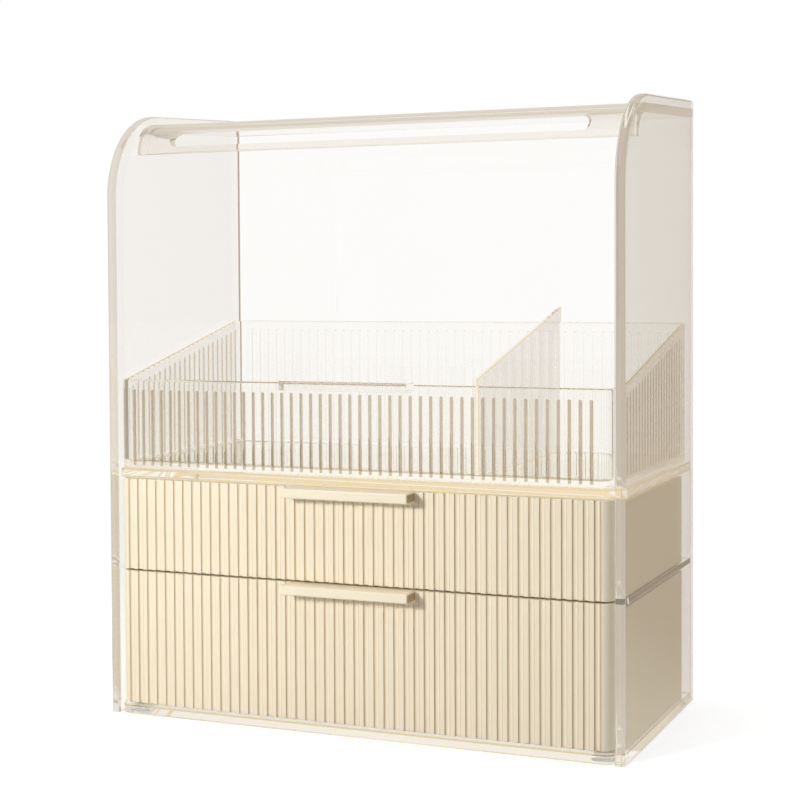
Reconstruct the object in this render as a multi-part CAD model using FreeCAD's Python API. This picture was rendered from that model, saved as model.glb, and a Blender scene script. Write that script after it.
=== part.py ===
"""Makeup storage case with a carrying handle: clear casing, two fluted drawers and a pull-out tray.

Millimetres. X runs to the right, -Y is the front and +Z is up. The origin is the centre of the
footprint of the whole case, pulls included, on the surface that it stands on.
"""
import FreeCAD, Part
import math
import os

# ---------------------------------------------------------------- driving dimensions
# casing
CASE_WIDTH = 300.0            # over the two side panels
CASE_DEPTH = 150.0            # front edge to back edge of a side panel
CASE_HEIGHT = 349.0           # floor to the top back corner of a side panel
TOP_FALL = 6.0                # how much lower a side panel's top edge is above its front curve
PANEL_THICKNESS = 5.5         # side panels
PANEL_FRONT_RADIUS = 50.0     # big curve at the top front corner of a side panel
PANEL_BACK_RADIUS = 3.0       # top back corner of a side panel
PANEL_EDGE_ROUND = 1.8        # polished round edges of a side panel
FOOT_HEIGHT = 2.0             # silicone pads under the base
FOOT_RADIUS = 6.0
FOOT_INSET = 14.0             # pad centre from the outside of the case
PLATE_THICKNESS = 5.0         # base plate, tray shelf, back panel and top cover
DRAWER_SHELF_THICKNESS = 3.0  # plate between the two drawers
GROOVE_DEPTH = 2.0            # how far plate ends are let into the side panels
PLATE_FRONT_RADIUS = 6.0      # front corners of the tray shelf and the base plate

# top cover and its handle
COVER_SET_DOWN = 5.0          # top of the cover below the top edge of the side panels
COVER_ROLL_RADIUS = 18.5      # outside radius of the rolled front lip
COVER_FRONT_SETBACK = 25.0    # front edge of the case to the face of the lip
HANDLE_SLOT_END = 20.5        # solid lip left between the hand slot and a side panel
HANDLE_SLOT_HEIGHT = 7.5      # hand slot through the lip
HANDLE_RAIL_HEIGHT = 4.0      # rail left below the slot
HANDLE_LIP_ROUND = 1.5        # rounding along the bottom of the rail

# drawers
LOWER_FRONT_HEIGHT = 74.8
UPPER_FRONT_HEIGHT = 51.0
FRONT_THICKNESS = 8.5
FRONT_CORNER_RADIUS = 7.5     # rounded vertical corners of the drawer fronts
FRONT_EDGE_ROUND = 0.6        # top and bottom edges of a drawer front
FLUTE_PITCH = 5.78            # from groove to groove
FLUTE_WIDTH = 3.2             # width of a hollow flute at the face
FLUTE_DEPTH = 1.1
FRONT_TO_BASE_GAP = 1.5       # base plate to the lower drawer front
FRONT_TO_FRONT_GAP = 1.0
FRONT_TO_SHELF_GAP = 0.8      # upper drawer front to the tray shelf
SIDE_GAP = 1.0                # drawer or tray to a side panel, each side
DRAWER_WALL = 2.5
DRAWER_FLOOR = 2.5
DRAWER_BACK_GAP = 12.0        # back of a drawer box to the back panel
DRAWER_CORNER_RADIUS = 4.0    # back corners of the drawer box
RUNNING_GAP = 0.4             # drawer box or tray over the plate that it slides on
BOX_HEAD_GAP = 2.0            # top of a drawer box below the plate above it

# pull handles
PULL_LENGTH = 74.0
PULL_HEIGHT = 5.2
PULL_REACH = 11.0             # how far a pull stands out from the front
PULL_ROUND = 0.8
PULL_SCREW_INSET = 11.0       # pull screws from the ends of a pull
PULL_SCREW_DROP = 2.9         # screw line below the top of a pull

# screws
SCREW_RADIUS = 1.0
SCREW_CLEARANCE = 0.1
SCREW_HEAD_RADIUS = 1.9
SCREW_HEAD_HEIGHT = 1.3
SCREW_HEAD_GAP = 0.8          # head to the edge of the notch or the plate beside it
SCREW_TIP_GAP = 0.6           # blind hole beyond a screw's tip
PULL_SCREW_GRIP = 5.0         # how far a pull screw goes into the pull
FRONT_SCREW_GRIP = 5.0        # how far a front screw goes into the drawer front
FRONT_SCREW_INSET = 24.0      # front screws from the outside of the drawer box
DRIVER_SLOT_WIDTH = 0.5
DRIVER_SLOT_DEPTH = 0.6

# tray
TRAY_FRONT_HEIGHT = 50.0
TRAY_BACK_HEIGHT = 79.5
TRAY_WALL = 2.5
TRAY_FLOOR = 3.0
TRAY_CORNER_RADIUS = 8.0
TRAY_RIM_HEIGHT = 5.5         # plain band above the ribs
TRAY_FOOT_BAND = 3.5          # plain band below the ribs
TRAY_RIB_PITCH = 5.78
TRAY_RIB_WIDTH = 1.9          # width of the hollow between two ribs
TRAY_RIB_DEPTH = 0.8
TRAY_RIM_FLAT = 9.0           # level part of the side rim behind the front
TRAY_BACK_GAP = 1.0           # tray to the back panel
TRAY_PULL_RISE = 1.5          # top of the tray's pull above the rim
DIVIDER_THICKNESS = 2.2       # drop-in divider that stands across the tray
SIDE_CELL_WIDTH = 68.8        # clear width between the divider and the tray's right wall
DIVIDER_FRONT_RISE = 3.3      # top of the divider above the front rim
DIVIDER_BACK_RISE = 9.0       # top of the divider above the back rim
DIVIDER_PLAY = 0.3            # divider to the inside of the tray's front and back walls

# ---------------------------------------------------------------- worked-out places
HALF_WIDTH = CASE_WIDTH / 2
INNER_HALF = HALF_WIDTH - PANEL_THICKNESS
FRONT_Y = (PULL_REACH - CASE_DEPTH) / 2
BACK_Y = FRONT_Y + CASE_DEPTH
BACK_PANEL_FRONT = BACK_Y - PLATE_THICKNESS

BASE_BOTTOM = FOOT_HEIGHT
BASE_TOP = BASE_BOTTOM + PLATE_THICKNESS
LOWER_FRONT_BOTTOM = BASE_TOP + FRONT_TO_BASE_GAP
LOWER_FRONT_TOP = LOWER_FRONT_BOTTOM + LOWER_FRONT_HEIGHT
UPPER_FRONT_BOTTOM = LOWER_FRONT_TOP + FRONT_TO_FRONT_GAP
UPPER_FRONT_TOP = UPPER_FRONT_BOTTOM + UPPER_FRONT_HEIGHT
DRAWER_SHELF_BOTTOM = (LOWER_FRONT_TOP + UPPER_FRONT_BOTTOM - DRAWER_SHELF_THICKNESS) / 2
DRAWER_SHELF_TOP = DRAWER_SHELF_BOTTOM + DRAWER_SHELF_THICKNESS
TRAY_SHELF_BOTTOM = UPPER_FRONT_TOP + FRONT_TO_SHELF_GAP
TRAY_SHELF_TOP = TRAY_SHELF_BOTTOM + PLATE_THICKNESS

FRONT_HALF = INNER_HALF - SIDE_GAP
FRONT_BACK_Y = FRONT_Y + FRONT_THICKNESS
BOX_BACK_Y = BACK_PANEL_FRONT - DRAWER_BACK_GAP
SHELF_FRONT_Y = FRONT_BACK_Y + SCREW_HEAD_HEIGHT + SCREW_HEAD_GAP

SLOPE = TOP_FALL / (CASE_DEPTH - PANEL_FRONT_RADIUS)
SLOPE_ANGLE = math.atan(SLOPE)
UP = FreeCAD.Vector(0, 0, 1)
OVERCUT = 1.0                 # how far cutting tools run past the face that they cut
CORNER_LAND = 0.5             # least flat left beside a rounded corner


def vec(x, y, z):
    return FreeCAD.Vector(x, y, z)


def block(x0, x1, y0, y1, z0, z1):
    """Box between two corners."""
    return Part.makeBox(x1 - x0, y1 - y0, z1 - z0, vec(x0, y0, z0))


def prism(wire, direction):
    """Solid pushed out from one closed flat wire."""
    return Part.Face(wire).extrude(direction)


def save(shape, name):
    """Write one node, which is one solid or a group of separate ones."""
    shape.exportStep(os.path.join("parts", name + ".step"))


def top_line_height(y, set_down):
    """Height, at depth y, of a line that lies set_down under the side panels' sloping top edge."""
    return CASE_HEIGHT - set_down / math.cos(SLOPE_ANGLE) - SLOPE * (BACK_Y - y)


def roll_centre(front_y, radius, set_down):
    """Centre (y, z) of a curve that runs from upright at front_y into the sloping top line."""
    y = front_y + radius
    return y, top_line_height(y, set_down) - radius / math.cos(SLOPE_ANGLE)


def on_roll(centre, radius, angle):
    """Point of a curve in the YZ plane, with the angle measured from straight up to the front."""
    return vec(0, centre[0] - radius * math.sin(angle), centre[1] + radius * math.cos(angle))


def bar_with_round_front(half_width, y_front, y_back, z0, z1, radius):
    """Plate or block whose two upright front corners are rounded."""
    radius = min(radius, y_back - y_front - CORNER_LAND)
    a = vec(-half_width, y_back, z0)
    b = vec(-half_width, y_front + radius, z0)
    c = vec(-half_width + radius, y_front, z0)
    d = vec(half_width - radius, y_front, z0)
    e = vec(half_width, y_front + radius, z0)
    f = vec(half_width, y_back, z0)
    shift = radius * (1 - math.sqrt(0.5))
    left_mid = vec(-half_width + shift, y_front + shift, z0)
    right_mid = vec(half_width - shift, y_front + shift, z0)
    edges = [
        Part.LineSegment(a, b).toShape(),
        Part.Arc(b, left_mid, c).toShape(),
        Part.LineSegment(c, d).toShape(),
        Part.Arc(d, right_mid, e).toShape(),
        Part.LineSegment(e, f).toShape(),
        Part.LineSegment(f, a).toShape(),
    ]
    return prism(Part.Wire(edges), UP * (z1 - z0))


def flute(width, depth, length):
    """Tool for an upright hollow flute along Z, whose mouth opens to -Y at the origin."""
    half = width / 2
    left = vec(-half, 0, 0)
    right = vec(half, 0, 0)
    out = vec(0, -OVERCUT, 0)
    outline = Part.Wire([
        Part.LineSegment(left + out, left).toShape(),
        Part.Arc(left, vec(0, depth, 0), right).toShape(),
        Part.LineSegment(right, right + out).toShape(),
        Part.LineSegment(right + out, left + out).toShape(),
    ])
    return prism(outline, UP * length)


# ---------------------------------------------------------------- casing
def panel_outline(x):
    """Outline of a side panel in the plane at x."""
    centre = roll_centre(FRONT_Y, PANEL_FRONT_RADIUS, 0.0)
    side = vec(x, 0, 0)
    start = on_roll(centre, PANEL_FRONT_RADIUS, math.pi / 2) + side
    end = on_roll(centre, PANEL_FRONT_RADIUS, -SLOPE_ANGLE) + side
    middle = on_roll(centre, PANEL_FRONT_RADIUS, math.pi / 4) + side
    front_foot = vec(x, FRONT_Y, BASE_BOTTOM)
    back_foot = vec(x, BACK_Y, BASE_BOTTOM)
    back_top = vec(x, BACK_Y, CASE_HEIGHT)
    return Part.Wire([
        Part.LineSegment(front_foot, start).toShape(),
        Part.Arc(start, middle, end).toShape(),
        Part.LineSegment(end, back_top).toShape(),
        Part.LineSegment(back_top, back_foot).toShape(),
        Part.LineSegment(back_foot, front_foot).toShape(),
    ])


def side_panel(side):
    """Thick clear side with a big front curve; side is -1 on the left and +1 on the right."""
    panel = prism(panel_outline(side * INNER_HALF), vec(side * PANEL_THICKNESS, 0, 0))
    corner = [e for e in panel.Edges
              if abs(e.CenterOfMass.y - BACK_Y) < RUNNING_GAP
              and abs(e.CenterOfMass.z - CASE_HEIGHT) < RUNNING_GAP]
    panel = panel.makeFillet(PANEL_BACK_RADIUS, corner)
    rims = [e for e in panel.Edges if e.CenterOfMass.z > BASE_BOTTOM + RUNNING_GAP
            and e.BoundBox.XLength < RUNNING_GAP]
    panel = panel.makeFillet(PANEL_EDGE_ROUND, rims)
    for groove in (base_plate(), drawer_shelf(), tray_shelf(), cover_blank()):
        panel = panel.cut(groove)
    return panel.removeSplitter()


def grooved_half():
    """Half width of a plate whose ends are let into the side panels."""
    return INNER_HALF + GROOVE_DEPTH


def base_plate():
    """Bottom of the case; its tongues fill grooves in the side panels."""
    plate = bar_with_round_front(INNER_HALF, FRONT_Y, BACK_PANEL_FRONT,
                                 BASE_BOTTOM, BASE_TOP, PLATE_FRONT_RADIUS)
    tongue = block(-grooved_half(), grooved_half(), FRONT_Y + PLATE_FRONT_RADIUS + GROOVE_DEPTH,
                   BACK_PANEL_FRONT, BASE_BOTTOM, BASE_TOP)
    return plate.fuse(tongue).removeSplitter()


def drawer_shelf():
    """Thin plate between the drawers, hidden behind their fronts."""
    return block(-grooved_half(), grooved_half(), SHELF_FRONT_Y, BACK_PANEL_FRONT,
                 DRAWER_SHELF_BOTTOM, DRAWER_SHELF_TOP)


def tray_shelf():
    """Plate over the drawers that carries the tray."""
    plate = bar_with_round_front(INNER_HALF, FRONT_Y, BACK_PANEL_FRONT,
                                 TRAY_SHELF_BOTTOM, TRAY_SHELF_TOP, PLATE_FRONT_RADIUS)
    tongue = block(-grooved_half(), grooved_half(), FRONT_Y + PLATE_FRONT_RADIUS + GROOVE_DEPTH,
                   BACK_PANEL_FRONT, TRAY_SHELF_BOTTOM, TRAY_SHELF_TOP)
    return plate.fuse(tongue).removeSplitter()


def cover_section(x):
    """Section of the top cover: a sloping plate that rolls down into an upright front lip."""
    lip_face = FRONT_Y + COVER_FRONT_SETBACK
    centre = roll_centre(lip_face, COVER_ROLL_RADIUS, COVER_SET_DOWN)
    inner_radius = COVER_ROLL_RADIUS - PLATE_THICKNESS
    side = vec(x, 0, 0)
    quarter = math.pi / 2
    middle = (quarter - SLOPE_ANGLE) / 2
    outer_low = on_roll(centre, COVER_ROLL_RADIUS, quarter) + side
    outer_mid = on_roll(centre, COVER_ROLL_RADIUS, middle) + side
    outer_top = on_roll(centre, COVER_ROLL_RADIUS, -SLOPE_ANGLE) + side
    inner_low = on_roll(centre, inner_radius, quarter) + side
    inner_mid = on_roll(centre, inner_radius, middle) + side
    inner_top = on_roll(centre, inner_radius, -SLOPE_ANGLE) + side
    back_top = vec(x, BACK_Y, top_line_height(BACK_Y, COVER_SET_DOWN))
    back_low = vec(x, BACK_Y, top_line_height(BACK_Y, COVER_SET_DOWN + PLATE_THICKNESS))
    return Part.Wire([
        Part.LineSegment(inner_low, outer_low).toShape(),
        Part.Arc(outer_low, outer_mid, outer_top).toShape(),
        Part.LineSegment(outer_top, back_top).toShape(),
        Part.LineSegment(back_top, back_low).toShape(),
        Part.LineSegment(back_low, inner_top).toShape(),
        Part.Arc(inner_top, inner_mid, inner_low).toShape(),
    ])


def cover_blank():
    """Top cover without its hand slot; its ends are let into the side panels."""
    return prism(cover_section(-grooved_half()), vec(2 * grooved_half(), 0, 0))


def handle_slot():
    """Level slot with round ends, cut right through the lip."""
    lip_face = FRONT_Y + COVER_FRONT_SETBACK
    lip_bottom = roll_centre(lip_face, COVER_ROLL_RADIUS, COVER_SET_DOWN)[1]
    z0 = lip_bottom + HANDLE_RAIL_HEIGHT
    radius = HANDLE_SLOT_HEIGHT / 2
    half = INNER_HALF - HANDLE_SLOT_END - radius
    y0 = lip_face - OVERCUT
    reach = COVER_ROLL_RADIUS + OVERCUT
    slot = block(-half, half, y0, y0 + reach, z0, z0 + HANDLE_SLOT_HEIGHT)
    for end in (-half, half):
        slot = slot.fuse(Part.makeCylinder(radius, reach, vec(end, y0, z0 + radius), vec(0, 1, 0)))
    return slot.removeSplitter()


def top_cover():
    """Cover whose rolled lip, pierced by a long slot, is the carrying handle."""
    cover = cover_blank().cut(handle_slot())
    lip_face = FRONT_Y + COVER_FRONT_SETBACK
    lip_bottom = roll_centre(lip_face, COVER_ROLL_RADIUS, COVER_SET_DOWN)[1]
    low_edges = [e for e in cover.Edges if e.BoundBox.ZMax < lip_bottom + RUNNING_GAP
                 and e.Length > 2 * INNER_HALF]
    return cover.makeFillet(HANDLE_LIP_ROUND, low_edges)


def back_panel():
    """Clear back between the side panels, under the cover and behind the plates."""
    under_cover = COVER_SET_DOWN + PLATE_THICKNESS
    x = -INNER_HALF
    outline = Part.makePolygon([
        vec(x, BACK_PANEL_FRONT, BASE_BOTTOM),
        vec(x, BACK_Y, BASE_BOTTOM),
        vec(x, BACK_Y, top_line_height(BACK_Y, under_cover)),
        vec(x, BACK_PANEL_FRONT, top_line_height(BACK_PANEL_FRONT, under_cover)),
        vec(x, BACK_PANEL_FRONT, BASE_BOTTOM),
    ])
    return prism(outline, vec(2 * INNER_HALF, 0, 0))


def foot_pads():
    """Four round silicone pads stuck under the base plate."""
    foot_x = HALF_WIDTH - FOOT_INSET
    pads = [Part.makeCylinder(FOOT_RADIUS, FOOT_HEIGHT, vec(x, y, 0))
            for x in (-foot_x, foot_x) for y in (FRONT_Y + FOOT_INSET, BACK_Y - FOOT_INSET)]
    return Part.makeCompound(pads)


# ---------------------------------------------------------------- drawers
def screw(x, z, head_y, tip_y):
    """Pan-head screw along Y with its head inside the drawer."""
    shank = Part.makeCylinder(SCREW_RADIUS, head_y - tip_y, vec(x, tip_y, z), vec(0, 1, 0))
    head = Part.makeCylinder(SCREW_HEAD_RADIUS, SCREW_HEAD_HEIGHT, vec(x, head_y, z), vec(0, 1, 0))
    driver = block(x - SCREW_HEAD_RADIUS, x + SCREW_HEAD_RADIUS,
                   head_y + SCREW_HEAD_HEIGHT - DRIVER_SLOT_DEPTH, head_y + SCREW_HEAD_HEIGHT + OVERCUT,
                   z - DRIVER_SLOT_WIDTH / 2, z + DRIVER_SLOT_WIDTH / 2)
    return shank.fuse(head).removeSplitter().cut(driver)


def screw_hole(x, z, y0, y1):
    """Hole along Y for a screw."""
    return Part.makeCylinder(SCREW_RADIUS + SCREW_CLEARANCE, y1 - y0, vec(x, y0, z), vec(0, 1, 0))


class Drawer:
    """Sizes and places of one drawer, from the bottom and top of its front and its box."""

    def __init__(self, front_bottom, front_top, box_bottom, box_top):
        self.front_bottom = front_bottom
        self.front_top = front_top
        self.box_bottom = box_bottom
        self.box_top = box_top
        self.wall_back_y = FRONT_BACK_Y + DRAWER_WALL
        self.pull_z = front_top - PULL_SCREW_DROP
        pull_screw_x = PULL_LENGTH / 2 - PULL_SCREW_INSET
        self.pull_x = [-pull_screw_x, pull_screw_x]
        self.front_screw_z = (front_bottom + front_top) / 2
        screw_x = FRONT_HALF - FRONT_SCREW_INSET
        self.front_screw_x = [-screw_x, screw_x]

    def front(self):
        """Front board with upright flutes and rounded corners."""
        board = bar_with_round_front(FRONT_HALF, FRONT_Y, FRONT_BACK_Y,
                                     self.front_bottom, self.front_top, FRONT_CORNER_RADIUS)
        rims = [e for e in board.Edges if e.BoundBox.ZLength < RUNNING_GAP
                and e.CenterOfMass.y < FRONT_BACK_Y - RUNNING_GAP]
        board = board.makeFillet(FRONT_EDGE_ROUND, rims)
        flat = 2 * (FRONT_HALF - FRONT_CORNER_RADIUS)
        count = int(flat / FLUTE_PITCH) + 1
        first = -(count - 1) * FLUTE_PITCH / 2
        height = self.front_top - self.front_bottom + 2 * OVERCUT
        flutes = []
        for i in range(count):
            tool = flute(FLUTE_WIDTH, FLUTE_DEPTH, height)
            tool.translate(vec(first + i * FLUTE_PITCH, FRONT_Y, self.front_bottom - OVERCUT))
            flutes.append(tool)
        behind_pull = block(-PULL_LENGTH / 2 - PULL_ROUND, PULL_LENGTH / 2 + PULL_ROUND,
                            FRONT_Y - 2 * OVERCUT, FRONT_BACK_Y,
                            self.front_top - PULL_HEIGHT - PULL_ROUND, self.front_top + OVERCUT)
        grooves = Part.makeCompound(flutes).cut(behind_pull)
        board = board.cut(grooves)
        for x in self.pull_x:
            board = board.cut(screw_hole(x, self.pull_z, FRONT_Y - OVERCUT, FRONT_BACK_Y + OVERCUT))
        for x in self.front_screw_x:
            start = FRONT_BACK_Y - FRONT_SCREW_GRIP - SCREW_TIP_GAP
            board = board.cut(screw_hole(x, self.front_screw_z, start, FRONT_BACK_Y + OVERCUT))
        return board

    def box(self):
        """Open box behind the front: four walls and a floor."""
        outside = block(-FRONT_HALF, FRONT_HALF, FRONT_BACK_Y, BOX_BACK_Y, self.box_bottom, self.box_top)
        corners = [e for e in outside.Edges if abs(e.CenterOfMass.y - BOX_BACK_Y) < RUNNING_GAP
                   and e.BoundBox.ZLength > DRAWER_FLOOR]
        outside = outside.makeFillet(DRAWER_CORNER_RADIUS, corners)
        inside = block(-FRONT_HALF + DRAWER_WALL, FRONT_HALF - DRAWER_WALL,
                       self.wall_back_y, BOX_BACK_Y - DRAWER_WALL,
                       self.box_bottom + DRAWER_FLOOR, self.box_top + OVERCUT)
        upright = [e for e in inside.Edges if e.BoundBox.ZLength > DRAWER_FLOOR]
        inside = inside.makeFillet(DRAWER_CORNER_RADIUS - DRAWER_WALL, upright)
        box = outside.cut(inside)
        notch_half = self.pull_x[1] + SCREW_HEAD_RADIUS + SCREW_HEAD_GAP
        notch = block(-notch_half, notch_half, FRONT_BACK_Y - OVERCUT, self.wall_back_y + OVERCUT,
                      self.pull_z - SCREW_HEAD_RADIUS - SCREW_HEAD_GAP, self.box_top + OVERCUT)
        box = box.cut(notch)
        for x in self.front_screw_x:
            box = box.cut(screw_hole(x, self.front_screw_z,
                                     FRONT_BACK_Y - OVERCUT, self.wall_back_y + OVERCUT))
        return box

    def pull(self):
        """Square bar along the top of the front."""
        return pull_bar(self.front_top, FRONT_Y, self.pull_x, PULL_SCREW_GRIP + SCREW_TIP_GAP)

    def pull_screws(self):
        tip = FRONT_Y - PULL_SCREW_GRIP
        return Part.makeCompound([screw(x, self.pull_z, FRONT_BACK_Y, tip) for x in self.pull_x])

    def front_screws(self):
        tip = FRONT_BACK_Y - FRONT_SCREW_GRIP
        return Part.makeCompound([screw(x, self.front_screw_z, self.wall_back_y, tip)
                                  for x in self.front_screw_x])


def pull_bar(top, back_y, screw_x, hole_depth):
    """Pull with its flat back on a face at back_y and its top at the height top."""
    front_y = back_y - PULL_REACH
    bar = block(-PULL_LENGTH / 2, PULL_LENGTH / 2, front_y, back_y, top - PULL_HEIGHT, top)
    outer = [e for e in bar.Edges if e.CenterOfMass.y < back_y - RUNNING_GAP]
    bar = bar.makeFillet(PULL_ROUND, outer)
    for x in screw_x:
        bar = bar.cut(screw_hole(x, top - PULL_SCREW_DROP, back_y - hole_depth, back_y + OVERCUT))
    return bar


# ---------------------------------------------------------------- tray
def tray_outer(inset, z0, z1):
    """Outside of the tray, drawn in by inset on every side."""
    back_y = BACK_PANEL_FRONT - TRAY_BACK_GAP - inset
    radius = TRAY_CORNER_RADIUS - inset
    body = bar_with_round_front(FRONT_HALF - inset, FRONT_Y + inset, back_y, z0, z1, radius)
    corners = [e for e in body.Edges if abs(e.CenterOfMass.y - back_y) < RUNNING_GAP
               and e.BoundBox.ZLength > TRAY_FLOOR]
    return body.makeFillet(radius, corners)


def tray_slant(bottom):
    """Everything above the rim, which is level in front and then rises to the back wall."""
    front_rim = bottom + TRAY_FRONT_HEIGHT
    back_rim = bottom + TRAY_BACK_HEIGHT
    bend_y = FRONT_Y + TRAY_RIM_FLAT
    back_y = BACK_PANEL_FRONT - TRAY_BACK_GAP - TRAY_CORNER_RADIUS
    x = -HALF_WIDTH
    outline = Part.makePolygon([
        vec(x, FRONT_Y - OVERCUT, front_rim),
        vec(x, bend_y, front_rim),
        vec(x, back_y, back_rim),
        vec(x, BACK_Y, back_rim),
        vec(x, BACK_Y, back_rim + TRAY_BACK_HEIGHT),
        vec(x, FRONT_Y - OVERCUT, back_rim + TRAY_BACK_HEIGHT),
        vec(x, FRONT_Y - OVERCUT, front_rim),
    ])
    return prism(outline, vec(CASE_WIDTH, 0, 0))


def tray_grooves(bottom):
    """Hollows between the ribs of the front wall and of the two side walls."""
    z0 = bottom + TRAY_FOOT_BAND
    front_length = TRAY_FRONT_HEIGHT - TRAY_FOOT_BAND - TRAY_RIM_HEIGHT
    grooves = []
    flat = 2 * (FRONT_HALF - TRAY_CORNER_RADIUS)
    count = int(flat / TRAY_RIB_PITCH) + 1
    first = -(count - 1) * TRAY_RIB_PITCH / 2
    for i in range(count):
        groove = flute(TRAY_RIB_WIDTH, TRAY_RIB_DEPTH, front_length)
        groove.translate(vec(first + i * TRAY_RIB_PITCH, FRONT_Y, z0))
        grooves.append(groove)
    start_y = FRONT_Y + TRAY_CORNER_RADIUS
    end_y = BACK_PANEL_FRONT - TRAY_BACK_GAP - TRAY_CORNER_RADIUS
    side_count = int((end_y - start_y) / TRAY_RIB_PITCH) + 1
    rise = (TRAY_BACK_HEIGHT - TRAY_FRONT_HEIGHT) / (end_y - FRONT_Y - TRAY_RIM_FLAT)
    for i in range(side_count):
        y = start_y + i * TRAY_RIB_PITCH
        length = front_length + rise * max(0.0, y - TRAY_RIB_WIDTH - FRONT_Y - TRAY_RIM_FLAT)
        for side in (-1, 1):
            groove = flute(TRAY_RIB_WIDTH, TRAY_RIB_DEPTH, length)
            groove.rotate(vec(0, 0, 0), UP, side * 90)
            groove.translate(vec(side * FRONT_HALF, y, z0))
            grooves.append(groove)
    return Part.makeCompound(grooves)


def tray_bottom():
    return TRAY_SHELF_TOP + RUNNING_GAP


def tray_body():
    """Clear ribbed tray whose side rims rise to a tall back wall."""
    bottom = tray_bottom()
    height = TRAY_BACK_HEIGHT
    outside = tray_outer(0.0, bottom, bottom + height)
    inside = tray_outer(TRAY_WALL, bottom + TRAY_FLOOR, bottom + height + OVERCUT)
    tray = outside.cut(inside).cut(tray_slant(bottom)).cut(tray_grooves(bottom))
    return tray


def tray_divider():
    """Clear plate across the tray, whose two top tabs rest on the front and back rims."""
    bottom = tray_bottom()
    right = FRONT_HALF - TRAY_WALL - SIDE_CELL_WIDTH
    front_rim = bottom + TRAY_FRONT_HEIGHT
    back_rim = bottom + TRAY_BACK_HEIGHT
    back_y = BACK_PANEL_FRONT - TRAY_BACK_GAP
    front_inner = FRONT_Y + TRAY_WALL + DIVIDER_PLAY
    back_inner = back_y - TRAY_WALL - DIVIDER_PLAY
    outline = Part.makePolygon([
        vec(right, front_inner, bottom + TRAY_FLOOR),
        vec(right, back_inner, bottom + TRAY_FLOOR),
        vec(right, back_inner, back_rim),
        vec(right, back_y, back_rim),
        vec(right, back_y, back_rim + DIVIDER_BACK_RISE),
        vec(right, FRONT_Y, front_rim + DIVIDER_FRONT_RISE),
        vec(right, FRONT_Y, front_rim),
        vec(right, front_inner, front_rim),
        vec(right, front_inner, bottom + TRAY_FLOOR),
    ])
    return prism(outline, vec(-DIVIDER_THICKNESS, 0, 0))


def tray_pull():
    """Clear pull bonded to the middle of the tray's front rim."""
    top = tray_bottom() + TRAY_FRONT_HEIGHT + TRAY_PULL_RISE
    return pull_bar(top, FRONT_Y, [], 0.0)


# ---------------------------------------------------------------- write the nodes
os.makedirs("parts", exist_ok=True)
save(side_panel(-1), "left_side_panel")
save(side_panel(1), "right_side_panel")
save(back_panel(), "back_panel")
save(top_cover(), "top_cover")
save(tray_shelf(), "tray_shelf")
save(drawer_shelf(), "drawer_shelf")
save(base_plate(), "base_plate")
save(foot_pads(), "foot_pads")
DRAWERS = {
    "lower": Drawer(LOWER_FRONT_BOTTOM, LOWER_FRONT_TOP,
                    BASE_TOP + RUNNING_GAP, DRAWER_SHELF_BOTTOM - BOX_HEAD_GAP),
    "upper": Drawer(UPPER_FRONT_BOTTOM, UPPER_FRONT_TOP,
                    DRAWER_SHELF_TOP + RUNNING_GAP, TRAY_SHELF_BOTTOM - BOX_HEAD_GAP),
}
for name, drawer in DRAWERS.items():
    save(drawer.front(), name + "_drawer_front")
    save(drawer.box(), name + "_drawer_box")
    save(drawer.pull(), name + "_drawer_pull")
    save(drawer.pull_screws(), name + "_pull_screws")
    save(drawer.front_screws(), name + "_front_screws")
save(tray_body(), "tray_body")
save(tray_divider(), "tray_divider")
save(tray_pull(), "tray_pull")
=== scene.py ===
import math

import bmesh
import bpy
from mathutils import Matrix, Vector


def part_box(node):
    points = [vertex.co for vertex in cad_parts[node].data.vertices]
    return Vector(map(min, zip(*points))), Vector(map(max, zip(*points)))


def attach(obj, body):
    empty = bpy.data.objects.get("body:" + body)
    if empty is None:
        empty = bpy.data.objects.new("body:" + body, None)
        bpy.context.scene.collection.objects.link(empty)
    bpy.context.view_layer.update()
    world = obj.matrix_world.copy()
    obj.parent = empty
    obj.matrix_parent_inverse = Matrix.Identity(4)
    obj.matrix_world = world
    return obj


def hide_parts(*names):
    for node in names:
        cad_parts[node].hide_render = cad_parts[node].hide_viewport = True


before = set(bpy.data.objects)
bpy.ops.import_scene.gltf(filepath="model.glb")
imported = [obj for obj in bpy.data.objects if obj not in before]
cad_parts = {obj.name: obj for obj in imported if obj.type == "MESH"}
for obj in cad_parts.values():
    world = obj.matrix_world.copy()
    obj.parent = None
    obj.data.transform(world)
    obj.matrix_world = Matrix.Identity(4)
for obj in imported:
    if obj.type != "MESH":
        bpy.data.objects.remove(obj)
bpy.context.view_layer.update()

# Makeup storage case with a carrying handle: clear casing, two fluted drawers and a pull-out tray.
# Metres. The front is -Y, Z is up, and each piece lies where its CAD node lies.
MM = 0.001
JOINT_GAP = 0.04 * MM          # air left in a glued joint, which shows as a fine line
NEAR = 0.1 * MM                # places closer than this count as one
TOUCH = 0.01 * MM              # the same, between corners that were placed on one line
WELD = 0.005 * MM              # corners closer than this are merged
OVERRUN = 5 * MM               # how far a cutting tool goes past what it cuts
SHARP = math.radians(38)       # edges turned more than this stay sharp in the shading
CORNER = math.radians(50)      # edges turned more than this are corners to round

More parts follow.
